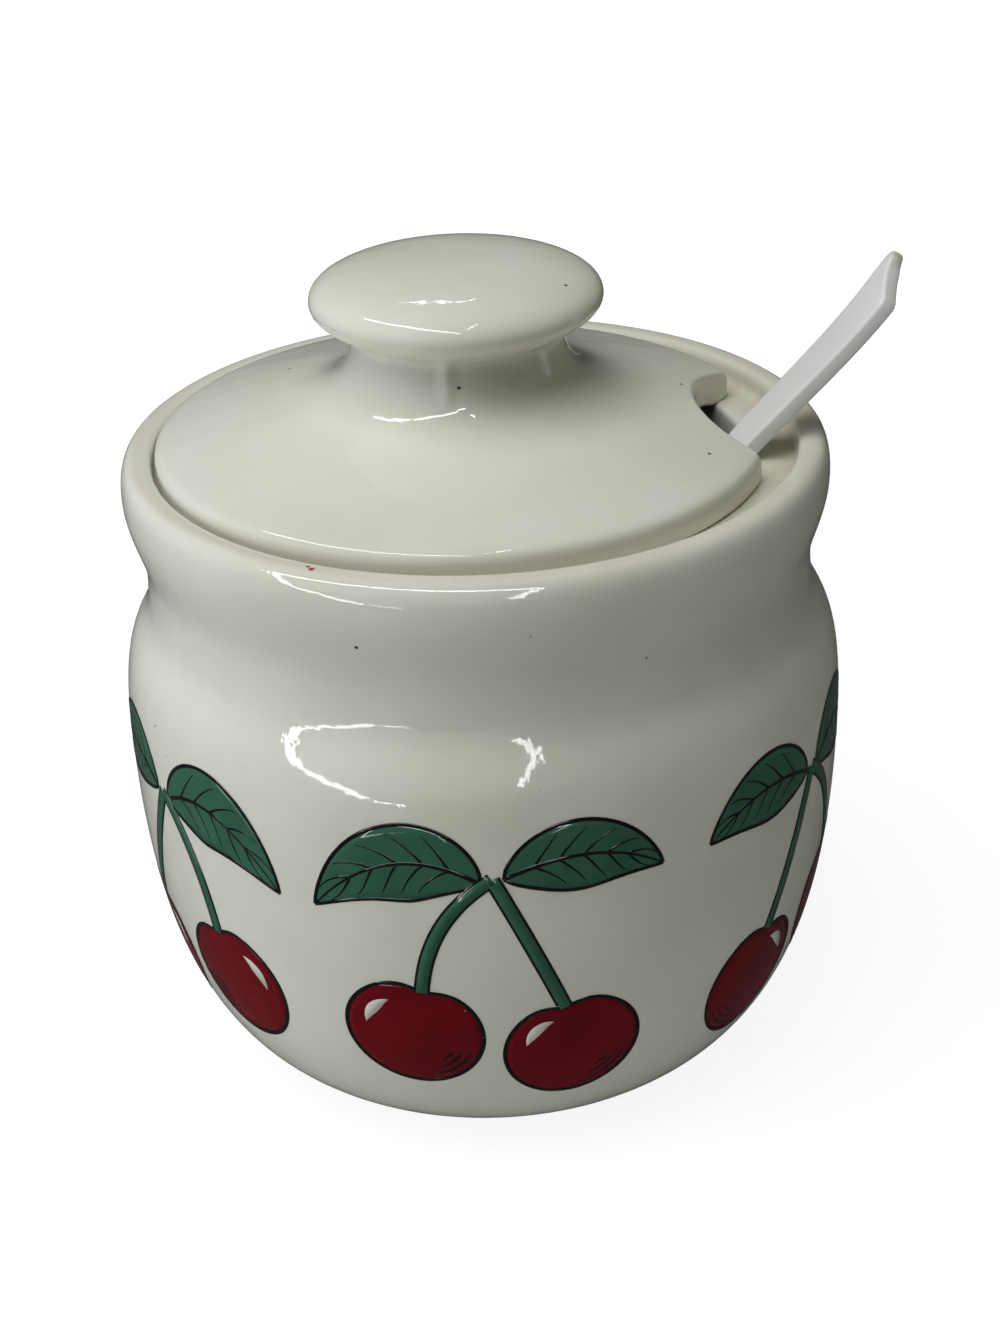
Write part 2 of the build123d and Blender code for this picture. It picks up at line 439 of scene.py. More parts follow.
def glaze_material(name, colours, pinholes, chips):
    """Cream gloss glaze: faint mottling, thin edges, pooled corners with painted shade under the spoon,
    pinholes and a soft ripple.
    """
    material, tree, where = start_material(name)
    cloud = ramped(tree, noise(tree, where, 38, 4), 0.36, 0.66)
    fine = ramped(tree, noise(tree, where, 850, 1), 0.3, 0.7)
    colour = mixed(tree, cloud, colours.glaze_deep, colours.glaze)
    grain = ramped(tree, noise(tree, where, 900, 3, 0.6), 0.62, 0.75, 0, 0.28)
    colour = mixed(tree, grain, colour, colours.glaze_deep)
    patchy = ramped(tree, noise(tree, where, 160, 4, 0.6), 0.34, 0.6, 0.35, 1)
    thin = maths(tree, "MULTIPLY", painted(tree, "thin_glaze"), patchy)
    colour = mixed(tree, thin, colour, colours.glaze_thin)
    # Pooled glaze in the gallery's corner plus painted shade under the spoon, as one brown tint
    pooled_and_spoon_shade = maths(tree, "MULTIPLY", painted(tree, "pooled_glaze_and_spoon_shade"), patchy)
    colour = mixed(tree, pooled_and_spoon_shade, colour, colours.glaze_pooled)
    bare = painted(tree, "bare_clay")
    colour = mixed(tree, bare, colour, colours.clay)
    faint = maths(tree, "MULTIPLY", specks(tree, where, 150, 0.04, 0.35), 0.45)
    dark = maths(tree, "MAXIMUM", faint, spots(tree, where, pinholes))
    colour = mixed(tree, dark, colour, colours.pinhole)
    colour = mixed(tree, spots(tree, where, chips), colour, colours.chip)
    gloss = ramped(tree, noise(tree, where, 70, 2), 0.3, 0.7, 0.03, 0.07)
    roughness = maths(tree, "MAXIMUM", gloss, ramped(tree, bare, 0, 1, 0, 0.8))
    ripple = noise(tree, where, 170, 1.5)
    height = maths(tree, "ADD", ripple, maths(tree, "MULTIPLY", fine, 0.09))
    height = maths(tree, "SUBTRACT", height, dark)
    end_glazed(tree, colour, roughness, height, 0.09 * MM, 0.5)
    return material


def print_material(name, colour, under):
    """Printed colour under the glaze: uneven in tone, with small worn specks where the glaze shows."""
    material, tree, where = start_material(name)
    cloud = ramped(tree, noise(tree, where, 120, 4), 0.3, 0.7)
    tone = mixed(tree, cloud, dimmed(colour, 0.72), colour)
    worn = specks(tree, where, 260, 0.05, 0.3)
    tone = mixed(tree, worn, tone, under)
    ripple = noise(tree, where, 170, 1.5)
    gloss = ramped(tree, noise(tree, where, 90, 2), 0.3, 0.7, 0.05, 0.1)
    end_glazed(tree, tone, gloss, ripple, 0.12 * MM, 0.4)
    return material


def plastic_material(name, colours, along):
    """Milky white plastic, with faint scuffs along the handle and an old stain at its tip."""
    material, tree, where = start_material(name)
    turn = along.to_track_quat("X", "Z").inverted().to_euler()
    lie = put(tree, "Mapping", {"Vector": where, "Rotation": turn, "Scale": (0.1, 1, 1)}).outputs[0]
    scuff = noise(tree, lie, 700, 2)
    cloud = ramped(tree, noise(tree, where, 60, 3), 0.3, 0.7)
    tone = mixed(tree, cloud, dimmed(colours.plastic, 0.93), colours.plastic)
    patchy = ramped(tree, noise(tree, where, 420, 4, 0.6), 0.38, 0.58)
    stained = maths(tree, "MULTIPLY", painted(tree, "stain"), patchy)
    tone = mixed(tree, stained, tone, colours.stain)
    gloss = ramped(tree, scuff, 0.3, 0.7, 0.25, 0.265)
    end_material(tree, {"Base Color": tone, "Roughness": gloss, "IOR": 1.49})
    return material


def spots_on(section, centre_x, lift, places):
    """Spots on the turned surface, from rows of bearing in degrees and radius, height and size in mm."""
    found = []
    for bearing, radius, height, spread in places:
        wanted = Vector((radius, height)) * MM
        nearest = min(section, key=lambda point: (point - wanted).length)
        angle = radians(bearing)
        place = Vector((centre_x + nearest.x * cos(angle), nearest.x * sin(angle), nearest.y + lift))
        found.append((place, spread * MM))
    return found


# Pot

def belly_controls(size):
    """Controls of the belly's outside, from the foot to its widest."""
    return (
        (size.foot_radius, 0),
        (size.foot_radius + size.foot_flare, size.foot_lift),
        (size.belly_radius, size.belly_height - size.belly_drop),
        (size.belly_radius, size.belly_height),
    )


def shoulder_controls(size):
    """Controls of the shoulder, from the belly's widest to the waist."""
    belly, waist = (size.belly_radius, size.belly_height), (size.waist_radius, size.waist_height)
    return upright(belly, size.shoulder_rise, waist, size.waist_drop)


def pot_section(size):
    """Half section of the pot, from the base's centre round the lip to the floor's centre."""
    collar_rise, lip_run, lip_drop = 2.9 * MM, 1.5 * MM, 1.8 * MM
    mouth_drop, throat_rise, floor_run = 3 * MM, 4 * MM, 37 * MM
    waist = (size.waist_radius, size.waist_height)
    collar = (size.collar_radius, size.collar_height)
    crest = (size.lip_radius, size.lip_height)
    gallery_top = (size.gallery_radius, size.lip_height - lip_drop)
    gallery = (size.gallery_radius, size.ledge_height)
    ledge = (size.mouth_radius, size.ledge_height)
    mouth = (size.mouth_radius, size.mouth_height)
    throat = (size.throat_radius, size.waist_height)
    inside = (size.belly_radius - size.wall, size.belly_height)
    floor_edge = (size.floor_radius, size.floor_height)
    section = [Vector((0, size.foot_recess)), Vector((size.foot_inside - size.foot_recess, size.foot_recess))]
    section += [Vector((size.foot_inside, 0))]
    section += curve(40, *belly_controls(size))
    section += curve(24, *shoulder_controls(size))
    section += curve(16, *upright(waist, size.waist_rise, collar, size.collar_drop))
    collar_top = (collar[0], collar[1] + collar_rise)
    section += curve(10, collar, collar_top, (crest[0] + lip_run, crest[1]), crest)
    section += curve(10, crest, (crest[0] - lip_run, crest[1]), (gallery[0], crest[1]), gallery_top)
    section += [Vector(gallery_top)]
    section += soft_corner(gallery_top, gallery, ledge, size.gallery_corner)
    section += soft_corner(gallery, ledge, mouth, size.ledge_corner)
    section += curve(10, *upright(mouth, -mouth_drop, throat, -throat_rise))
    section += curve(14, *upright(throat, -size.waist_drop, inside, -size.shoulder_rise))
    low_wall, floor_turn = (inside[0], inside[1] - size.belly_drop), (floor_run, size.floor_height)
    section += curve(26, inside, low_wall, floor_turn, floor_edge)
    section += [Vector(floor_edge), Vector((0, size.floor_height))]
    return section


class JAMPOT_OT_pot(Operator):
    """Turn the pot with its foot ring, belly, waist, collar, lip and gallery"""

    bl_idname = "jampot.pot"
    bl_label = "Pot"

    def execute(self, context):
        jam_pot = context.scene.jam_pot
        size, colours = jam_pot.pot, jam_pot.colours
        section = pot_section(size)
        mesh = bmesh.new()
        bmesh.ops.spin(
            mesh, geom=add_section(mesh, section, 0, 0), cent=(0, 0, 0), axis=UP, angle=tau, steps=size.steps,
            use_merge=True,
        )
        close_up(mesh)
        ledge, gallery = size.ledge_height, size.gallery_radius

        def thin(place):
            crest = smoothstep(1.6 * MM, 0, abs(place.xy.length - size.lip_radius))
            return 0.22 * crest * smoothstep(size.lip_height - 0.8 * MM, size.lip_height, place.z)

        # Pooled glaze in the gallery's corner, and painted shade that grows towards the spoon's bearing where
        # the spoon lies over the gallery
        def pooled_and_spoon_shade(place):
            radius = place.xy.length
            corner = smoothstep(3 * MM, 0, hypot(radius - gallery, place.z - ledge))
            spoon_shade = smoothstep(radians(75), radians(20), abs(atan2(place.y, place.x)))
            inside = smoothstep(gallery + 0.3 * MM, gallery - 0.3 * MM, radius)
            return corner * inside * (0.12 + 0.6 * spoon_shade)

        def bare(place):
            radius = place.xy.length
            face = smoothstep(0.5 * MM, 0.15 * MM, place.z)
            return face * smoothstep(size.foot_inside - 1 * MM, size.foot_inside, radius)

        paint(mesh, "thin_glaze", thin)
        paint(mesh, "pooled_glaze_and_spoon_shade", pooled_and_spoon_shade)
        paint(mesh, "bare_clay", bare)
        pinholes = spots_on(section, 0, 0, (
            (-108.8, 47.1, 82.2, 0.32), (-152, 49, 60, 0.2), (-64, 46, 77, 0.18), (70, 50, 48, 0.25),
        ))
        chips = spots_on(section, 0, 0, ((-116.2, 45.4, 90.9, 0.5), (-117.1, 45.2, 90.9, 0.35)))
        glaze = glaze_material("pot_glaze", colours, pinholes, chips)
        finish_piece("pot_body", mesh, "pot", "pot", [glaze])
        return {"FINISHED"}


# Lid

def lid_runs(size):
    """The underside, the edge, the dome and the knob of the lid, as runs of (radius, height) points."""
    core = [
        Vector((size.core_radius * sin(turn), size.core_height - size.core_radius * (1 - cos(turn))))
        for turn in (pi / 2 * step / 8 for step in range(9))
    ]
    core_mouth, seat = (size.core_radius, size.core_mouth), (size.seat_inside, 0)
    vault, vault_foot = (size.dome_radius, 4.4 * MM), (35.3 * MM, 1.387 * MM)
    under = curve(30, core_mouth, vault, vault_foot, seat) + [Vector(seat)]
    side = (size.radius, size.edge_height)
    edge = soft_corner(seat, (size.radius, 0), side, size.edge_corner, 5)
    roll_end = (size.radius - 1.7 * MM, size.edge_height + 2.22 * MM)
    roll_low = (size.radius, size.edge_height + 1.3 * MM)
    roll_high = (size.radius - 0.4 * MM, roll_end[1] - 0.36 * MM)
    dome = curve(12, side, roll_low, roll_high, roll_end)
    dome_low, dome_high = (34.6 * MM, 5.8 * MM), (29.3 * MM, 7.16 * MM)
    dome_end = (size.dome_radius, size.dome_height)
    dome += curve(24, roll_end, dome_low, dome_high, dome_end) + [Vector(dome_end)]
    neck = (size.neck_radius, size.neck_height)
    flare, neck_low = (17 * MM, 10.382 * MM), (size.neck_radius, size.neck_height - size.neck_drop)
    knob = curve(14, dome_end, flare, neck_low, neck)[1:]
    belt, top = (size.knob_radius, size.knob_height), (0, size.height)
    knob += curve(16, *upright(neck, size.neck_rise, belt, size.knob_drop))
    knob += curve(24, belt, (belt[0], belt[1] + size.knob_rise), (size.crown_run, size.height), top)
    knob += [Vector(top)]
    return core, under, edge, dome, knob


def notched_radius(size, bearing):
    """How far out the lid's edge reaches at this bearing, with the notch and its soft ears."""
    centre = Vector((size.notch_x + size.shift, size.notch_y))
    forward = centre.dot(Vector((cos(bearing), sin(bearing))))
    inside = forward * forward - centre.length_squared + size.notch_radius ** 2
    if inside <= 0 or forward <= 0:
        return size.radius
    reach = forward - sqrt(inside)
    share = min(max(0.5 + 0.5 * (size.radius - reach) / size.notch_ear, 0), 1)
    return size.radius + (reach - size.radius) * share - size.notch_ear * share * (1 - share) * 0.5


class JAMPOT_OT_lid(Operator):
    """Turn the domed lid with its knob and draw its edge in round the spoon's notch"""

    bl_idname = "jampot.lid"
    bl_label = "Lid"

    def execute(self, context):
        jam_pot = context.scene.jam_pot
        size, colours = jam_pot.lid, jam_pot.colours
        ledge = jam_pot.pot.ledge_height
        core, under, edge, dome, knob = lid_runs(size)
        section = core + under + edge + dome + knob
        centre = Vector((-size.shift, 0, 0))
        facing = atan2(size.notch_y, size.notch_x + size.shift)
        sector = radians(70)
        mesh = bmesh.new()
        geom = add_section(mesh, section, centre.x, facing - sector / 2)
        for angle, steps in ((sector, size.notch_steps), (tau - sector, size.steps)):
            made = bmesh.ops.spin(
                mesh, geom=geom, cent=centre, axis=UP, angle=angle, steps=steps,
                use_merge=False, use_duplicate=False,
            )
            geom = made["geom_last"]
        close_up(mesh)

        # Draw the edge in along the dome, so that its rolled section follows the notch
        fixed = 20.5 * MM
        soft_from = 36 * MM
        flat_dome = [point for point in dome if point.x <= soft_from]
        slope = (flat_dome[0].y - flat_dome[2].y) / (flat_dome[0].x - flat_dome[2].x)
        flat_dome.insert(0, Vector((size.radius, flat_dome[0].y + slope * (size.radius - flat_dome[0].x))))
        flat_dome += [point for point in knob if point.x >= fixed - 1 * MM][:6]
        seat = under + [Vector((size.radius, 0))]
        for vert in mesh.verts:
            out = vert.co - centre
            radius = out.xy.length
            reach = notched_radius(size, atan2(out.y, out.x))
            if radius <= fixed or reach > size.radius - MERGE or out.z > size.dome_height + 2 * MM:
                continue
            low, high = height_at(seat, radius), height_at(flat_dome, radius)
            share = (out.z - low) / (high - low)
            moved = fixed + (radius - fixed) * (reach - fixed) / (size.radius - fixed)
            low, high = height_at(seat, moved), height_at(flat_dome, moved)
            vert.co.x = centre.x + out.x * moved / radius
            vert.co.y = centre.y + out.y * moved / radius
            vert.co.z = low + (high - low) * share

        # A glaze run that has set on the front of the knob's neck
        run_bearing, run_width, run_swell, run_sag = radians(-96), 0.95 * MM, 0.36 * MM, -0.2
        neck_near, neck_far, run_foot, run_top = 12 * MM, 18.5 * MM, 12.4 * MM, 21 * MM
        for vert in mesh.verts:
            out = vert.co - centre
            radius = out.xy.length
            if not neck_near < radius < neck_far or not run_foot < out.z < run_top:
                continue
            across = (atan2(out.y, out.x) - run_bearing) * radius
            down = smoothstep(12.5 * MM, 14.4 * MM, out.z) * smoothstep(20.8 * MM, 18 * MM, out.z)
            swell = run_swell * down * exp(-(across / run_width) ** 2)
            vert.co += Vector((out.x / radius, out.y / radius, run_sag)) * swell
        bmesh.ops.translate(mesh, verts=mesh.verts, vec=UP * ledge)
        bmesh.ops.recalc_face_normals(mesh, faces=mesh.faces)

        def thin(place):
            out = place - centre
            level = out.z - ledge
            reach = notched_radius(size, atan2(out.y, out.x))
            rim = smoothstep(reach - 2.6 * MM, reach - 0.4 * MM, out.xy.length)
            return 0.36 * rim * smoothstep(3.6 * MM, 1.2 * MM, level)

        paint(mesh, "thin_glaze", thin)
        paint(mesh, "pooled_glaze_and_spoon_shade", lambda place: 0.0)
        paint(mesh, "bare_clay", lambda place: 0.0)
        pinholes = spots_on(section, centre.x, ledge, (
            (9.3, 30.6, 6.8, 0.3), (-27.2, 35.7, 5.4, 0.3), (-27.6, 16, 25.6, 0.3), (-90, 14.2, 14.5, 0.3),
            (148, 28, 7.6, 0.3),
        ))
        glaze = glaze_material("lid_glaze", colours, pinholes, ())
        finish_piece("lid_body", mesh, "lid", "lid", [glaze])
        return {"FINISHED"}


# Spoon

def spoon_axes(size, pot):
    """Origin over the mouth's edge, and the axes along the handle, across it and up from its face."""
    slide = next(joint for joint in frame["joints"] if joint["name"] == "spoon_slide")
    along = Vector(slide["axis"]).normalized()
    across = UP.cross(along).normalized()
    up = along.cross(across)
    facing = Vector((cos(size.bearing), sin(size.bearing), 0))
    edge = facing * pot.mouth_radius + UP * pot.ledge_height
    return edge + up * (size.rest_gap + size.thickness), along, across, up


def end_reach(size, across):
    """How far along the handle its end lies at this place across it: a hollow slant up to a round nib."""
    tip, half = size.standing_out, size.end_width / 2
    nib = half - size.nib_width
    if across >= nib:
        turn = (2 * across - nib - half) / size.nib_width
        return tip - size.nib_width / 2 * (1 - sqrt(max(1 - turn * turn, 0)))
    heel, slant_end = Vector((tip - size.end_slant, -half)), Vector((tip - size.nib_width / 2, nib))
    heel_pull, nib_pull = Vector((0.8, 2)) * MM, Vector((1.7, 1.4)) * MM
    controls = (heel, heel + heel_pull, slant_end - nib_pull, slant_end)
    past = max(-across - (half - size.end_corner), 0)
    corner = sqrt(max(size.end_corner ** 2 - past ** 2, 0)) - size.end_corner
    return bezier_point(controls, share_at(controls, across)).x + corner


class JAMPOT_OT_spoon(Operator):
    """Shape the moulded spoon from one sheet, dished at the bowl, then give it its thickness"""

    bl_idname = "jampot.spoon"
    bl_label = "Spoon"

    def execute(self, context):
        jam_pot = context.scene.jam_pot
        size, colours = jam_pot.spoon, jam_pot.colours
        origin, along, across, up = spoon_axes(size, jam_pot.pot)
        tip_start = size.standing_out - size.whole_length
        bowl_end = tip_start + size.bowl_length
        bowl_middle = tip_start + size.bowl_length / 2
        half_length, half_width = size.bowl_length / 2, size.bowl_width / 2
        arc_radius = (half_length ** 2 + size.bowl_depth ** 2) / (2 * size.bowl_depth)
        arc_height = arc_radius - size.bowl_depth
        axis_height = (half_width ** 2 - size.bowl_depth ** 2) / (2 * size.bowl_depth)
        root = bowl_end - size.root_overlap

        def arc_depth(place, wall):
            inside = (arc_radius - wall) ** 2 - (place - bowl_middle) ** 2
            return sqrt(inside) - arc_height if inside > arc_height ** 2 else 0.0

        def half_at(place, share):
            deep = arc_depth(place, 0)
            bowl = sqrt((axis_height + deep) ** 2 - axis_height ** 2)
            if place < root:
                return bowl
            handle = (size.root_width + (size.end_width - size.root_width) * share ** 2) / 2
            return max(bowl, handle)

        def dished(place, side):
            deep = arc_depth(place, size.bowl_wall)
            inside = (axis_height + deep) ** 2 - side ** 2
            return min(axis_height - sqrt(inside), 0.0) if deep > 0 and inside > 0 else 0.0

        rows, columns, bowl_share, border, bend_back = 150, 36, 0.42, 0.16, 0.88
        rim_from, rim_thin, tip_from, tip_thin = 0.86, 0.6, 3 * MM, 0.15
        mesh = bmesh.new()
        wall = mesh.verts.layers.deform.verify()
        stain = mesh.verts.layers.float.new("stain")
        bmesh.ops.create_grid(mesh, x_segments=rows, y_segments=columns, size=0.5)
        for vert in mesh.verts:
            share, side = vert.co.x + 0.5, 2 * vert.co.y
            side = side * (1 - border) / (1 - 2 / columns) if abs(side) < 1 - 1 / columns else round(side)
            if share < bowl_share:
                place = tip_start + size.bowl_length * (1 - cos(pi * share / bowl_share)) / 2
            else:
                end = end_reach(size, side * size.end_width / 2)
                place = bowl_end + (share - bowl_share) / (1 - bowl_share) * (end - bowl_end)
            offset = side * half_at(place, (place - root) / (size.standing_out - root))
            outside = min(max(place / size.standing_out, 0), 1)
            sunk = dished(place, offset) + size.bend * outside ** 2 * (outside - bend_back)
            vert.co = origin + along * place + across * offset + up * sunk
            handle_share = smoothstep(root - 1 * MM, bowl_end + 3 * MM, place)
            bowl_thick = size.bowl_wall / size.thickness * (1 - rim_thin * smoothstep(rim_from, 1, abs(side)))
            from_tip = hypot(place - size.standing_out, offset - size.end_width / 2 + size.nib_width)
            tip_share = 1 - tip_thin * smoothstep(tip_from, 0, from_tip)
            vert[wall][0] = (bowl_thick + (1 - bowl_thick) * handle_share) * tip_share
            vert[stain] = 0.6 * smoothstep(2.4 * MM, 0.4 * MM, from_tip)
        bmesh.ops.remove_doubles(mesh, verts=mesh.verts, dist=0.01 * MM)
        turn_faces(mesh, lambda face: up)
        plastic = plastic_material("spoon_plastic", colours, along)
        piece = finish_piece("spoon_body", mesh, "spoon", "spoon", [plastic], radians(180))
        piece.vertex_groups.new(name="wall")
        thick = piece.modifiers.new("thickness", "SOLIDIFY")
        thick.thickness = size.thickness
        thick.offset = -1
        thick.vertex_group = "wall"

        # Round the handle's edges on the thick shape, and leave the bowl's thin rim as it is
        context.view_layer.update()
        solid = bpy.data.meshes.new_from_object(piece.evaluated_get(context.evaluated_depsgraph_get()))
        piece.modifiers.clear()
        mesh = bmesh.new()
        mesh.from_mesh(solid)
        bpy.data.meshes.remove(solid)
        close_up(mesh)
        rim = [
            edge for edge in mesh.edges
            if edge.calc_face_angle(0) > radians(50)
            and min((vert.co - origin).dot(along) for vert in edge.verts) > bowl_end + 2 * MM
        ]
        bmesh.ops.bevel(
            mesh, geom=rim, offset=size.edge_round, offset_type="OFFSET", affect="EDGES",
            segments=3, profile=0.5, material=-1, clamp_overlap=True,
        )
        inset, tip_side, tip_reach = 0.6 * MM, 1 * MM, 2.3 * MM
        tip = origin + along * (size.standing_out - inset) - up * inset
        tip += across * (size.end_width / 2 - tip_side)
        blunt = [vert for vert in mesh.verts if (vert.co - tip).length < tip_reach]
        for _ in range(7):
            bmesh.ops.smooth_vert(
                mesh, verts=blunt, factor=0.5, use_axis_x=True, use_axis_y=True, use_axis_z=True,
            )
        mesh.to_mesh(piece.data)
        mesh.free()
        piece.data.shade_smooth()
        piece.data.set_sharp_from_angle(angle=radians(60))
        return {"FINISHED"}


# Print: its inks, and its layers from the glaze up

RED, GREEN, INK, GLAZE = range(4)
FILL, SHADING, OUTLINE, OVER = range(1, 5)


def belly_place(size, around, height, lift):
    """Point this far round the belly from the front, at this height and this far off the glaze."""
    controls = belly_controls(size) if height <= size.belly_height else shoulder_controls(size)
    share = share_at(controls, height)
    here = bezier_point(controls, share)
    ahead = heading(lambda s: bezier_point(controls, s), share)
    outward = Vector((ahead.y, -ahead.x))
    radius, level = here.x + outward.x * lift, here.y + outward.y * lift
    turn = around / size.belly_radius
    return Vector((radius * sin(turn), -radius * cos(turn), level))


class Printer:
    """Lays patches of print on the belly, each a small grid bent to its shape."""

    def __init__(self, mesh, pot, size, centre, mirrored):
        self.mesh, self.pot, self.size = mesh, pot, size
        self.centre, self.side = centre, -1 if mirrored else 1

    def patch(self, columns, rows, layer, ink, spread):
        """A grid whose (0 to 1, 0 to 1) places go where spread sends them, at this layer."""
        made = bmesh.ops.create_grid(self.mesh, x_segments=columns, y_segments=rows, size=0.5)["verts"]
        for vert in made:
            flat = spread(vert.co.x + 0.5, vert.co.y + 0.5)
            around = self.centre + self.side * flat.x
            vert.co = belly_place(self.pot, around, flat.y, self.size.film * (layer + 1))
        for face in {face for vert in made for face in vert.link_faces}:
            face.material_index = ink

    def stroke(self, path, width, layer, ink, columns=24):
        """A line along the path, which takes a share and gives a flat place; the width may taper."""
        def spread(share, side):
            ahead = heading(path, share)
            breadth = width(share) if callable(width) else width
            return path(share) + Vector((-ahead.y, ahead.x)) * (side - 0.5) * breadth
        self.patch(columns, 1, layer, ink, spread)

    def cherry(self, centre, radius, lean):
        """A round fruit with a dimple where its stem goes in, a glint left open and three shading lines."""
        def edge(turn):
            dip = abs((turn - pi / 2 - lean + pi) % tau - pi)
            return radius * (1 - 0.13 * exp(-(dip / 0.34) ** 2)) * (1 + 0.025 * cos(2 * (turn - lean)))

        def at(turn, share):
            return centre + Vector((cos(turn), sin(turn))) * edge(turn) * share

        line = self.size.line_width
        self.patch(56, 8, FILL, RED, lambda s, t: at(tau * s, t))
        self.stroke(lambda s: at(tau * s, 1), line * 1.15, OUTLINE, INK, 72)
        self.stroke(
            lambda s: at(radians(118 + 50 * s), 0.7),
            lambda s: 1.5 * MM * sin(pi * s) + 0.1 * MM,
            SHADING, GLAZE, 14,
        )
        for share, start, sweep in ((0.86, -80, 62), (0.74, -66, 44), (0.62, -52, 26)):
            self.stroke(
                lambda s: at(radians(start + sweep * s), share),
                lambda s: line * (0.25 + 0.6 * sin(pi * s)),
                SHADING, INK, 14,
            )

    def leaf(self, base, bend, tip, breadth):
        """A plain pointed leaf on a bent midrib, with side veins."""
        line = self.size.line_width

        def rib(share):
            return bezier_point((base, bend, tip), share)

        def out(share, side):
            ahead = heading(rib, share)
            swell = sin(pi * share ** 0.82) ** 0.85 if 0 < share < 1 else 0.0
            return rib(share) + Vector((-ahead.y, ahead.x)) * side * swell * breadth / 2

        self.patch(30, 8, FILL, GREEN, lambda s, t: out(s, 2 * t - 1))
        for side in (-1, 1):
            self.stroke(lambda s: out(s, side), line, OUTLINE, INK, 36)
            for place in (0.16, 0.31, 0.46, 0.61, 0.75):
                self.stroke(
                    lambda s: out(place + 0.17 * s, side * 0.78 * s),
                    lambda s: line * (0.75 - 0.5 * s),
                    SHADING, INK, 8,
                )
        self.stroke(rib, lambda s: line * (1.25 - 0.8 * s), OUTLINE, INK, 20)

    def stem(self, start, bend, end, breadth):
        """A green stem with an ink line at each side."""
        def path(share):
            return bezier_point((start, bend, end), share)

        self.stroke(path, breadth + 1.3 * self.size.line_width, OUTLINE, INK)
        self.stroke(path, breadth, OVER, GREEN)


class JAMPOT_OT_print(Operator):
    """Lay the printed cherries, leaves and stems round the belly"""

    bl_idname = "jampot.print"
    bl_label = "Print"

    def execute(self, context):
        jam_pot = context.scene.jam_pot
        size, pot, colours = jam_pot.print, jam_pot.pot, jam_pot.colours
        mesh = bmesh.new()
        pitch = tau * pot.belly_radius / size.sprigs
        radius, leaf, stem = size.cherry_radius, size.leaf_width, size.stem_width

        def flat(x, y):
            return Vector((x, y)) * MM

        for sprig in range(size.sprigs):
            printer = Printer(mesh, pot, size, sprig * pitch, sprig % 2 == 1)
            printer.leaf(flat(-1.5, 51), flat(-13, 58.5), flat(-23.5, 45.5), leaf)
            printer.leaf(flat(1.5, 51.5), flat(13, 57), flat(22.5, 50), 0.9 * leaf)
            printer.cherry(flat(-11.5, 26), radius, radians(-14))
            printer.cherry(flat(10.5, 22.5), radius, radians(10))
            printer.stem(flat(0, 51.5), flat(-8.5, 46), flat(-9.8, 33.6), stem)
            printer.stem(flat(0, 51.5), flat(4.5, 42), flat(9.2, 30.2), stem)
        bmesh.ops.remove_doubles(mesh, verts=mesh.verts, dist=MERGE)
        turn_faces(mesh, lambda face: face.calc_center_median() * Vector((1, 1, 0)))
        inks = {"red": colours.red, "green": colours.green, "ink": colours.ink, "glint": colours.glaze}
        materials = [print_material("print_" + name, ink, colours.glaze) for name, ink in inks.items()]
        piece = finish_piece("pot_print", mesh, "pot", None, materials, radians(60))
        film = piece.modifiers.new("film", "SOLIDIFY")
        film.thickness = size.film
        film.offset = -1
        return {"FINISHED"}


# Stage

def lamp(name, place, turn, width, height, power, colour=(1, 1, 1)):
    """A rectangular lamp that the camera doesn't see."""
    data = bpy.data.lights.new(name, "AREA")
    data.color = colour
    data.shape = "RECTANGLE"
    data.size, data.size_y = width, height
    data.energy = power
    made = placed(name, data)
    made.visible_camera = False
    made.location = place
    made.rotation_euler = turn
    return made


def soft_panel(name, place, target, extent, power, colour):
    """A large panel that lights the object and leaves no outline in its gloss."""
    place, target = Vector(place), Vector(target)
    turn = (target - place).to_track_quat("-Z", "Y").to_euler()
    lamp(name, place, turn, extent, extent, power, colour).visible_glossy = False


def piece_group(name, pieces):
    """A group of finished pieces that a lamp can be kept to."""
    group = bpy.data.collections.new(name)
    for piece in pieces:
        group.objects.link(bpy.data.objects[piece])
    return group


def glint_strip(name, start, end, target, breadth, glow, group):
    """A thin bright strip between two points, for the gloss of one group of pieces alone."""
    start, end = Vector(start), Vector(end)
    run = (end - start).normalized()
    middle = (start + end) / 2
    side = (middle - Vector(target)).cross(run).normalized()
    turn = Matrix((run, side, run.cross(side))).transposed().to_euler()
    extent = (end - start).length
    made = lamp(name, middle, turn, extent, breadth, glow * pi * extent * breadth)
    made.visible_diffuse = False
    made.light_linking.receiver_collection = group


def seen_white(tree, mirrored):
    """Share that is 1 for the camera, and smaller in reflections."""
    path = put(tree, "LightPath").outputs
    reflected = maths(tree, "MULTIPLY", path["Is Glossy Ray"], mirrored)
    return maths(tree, "MAXIMUM", path["Is Camera Ray"], reflected)


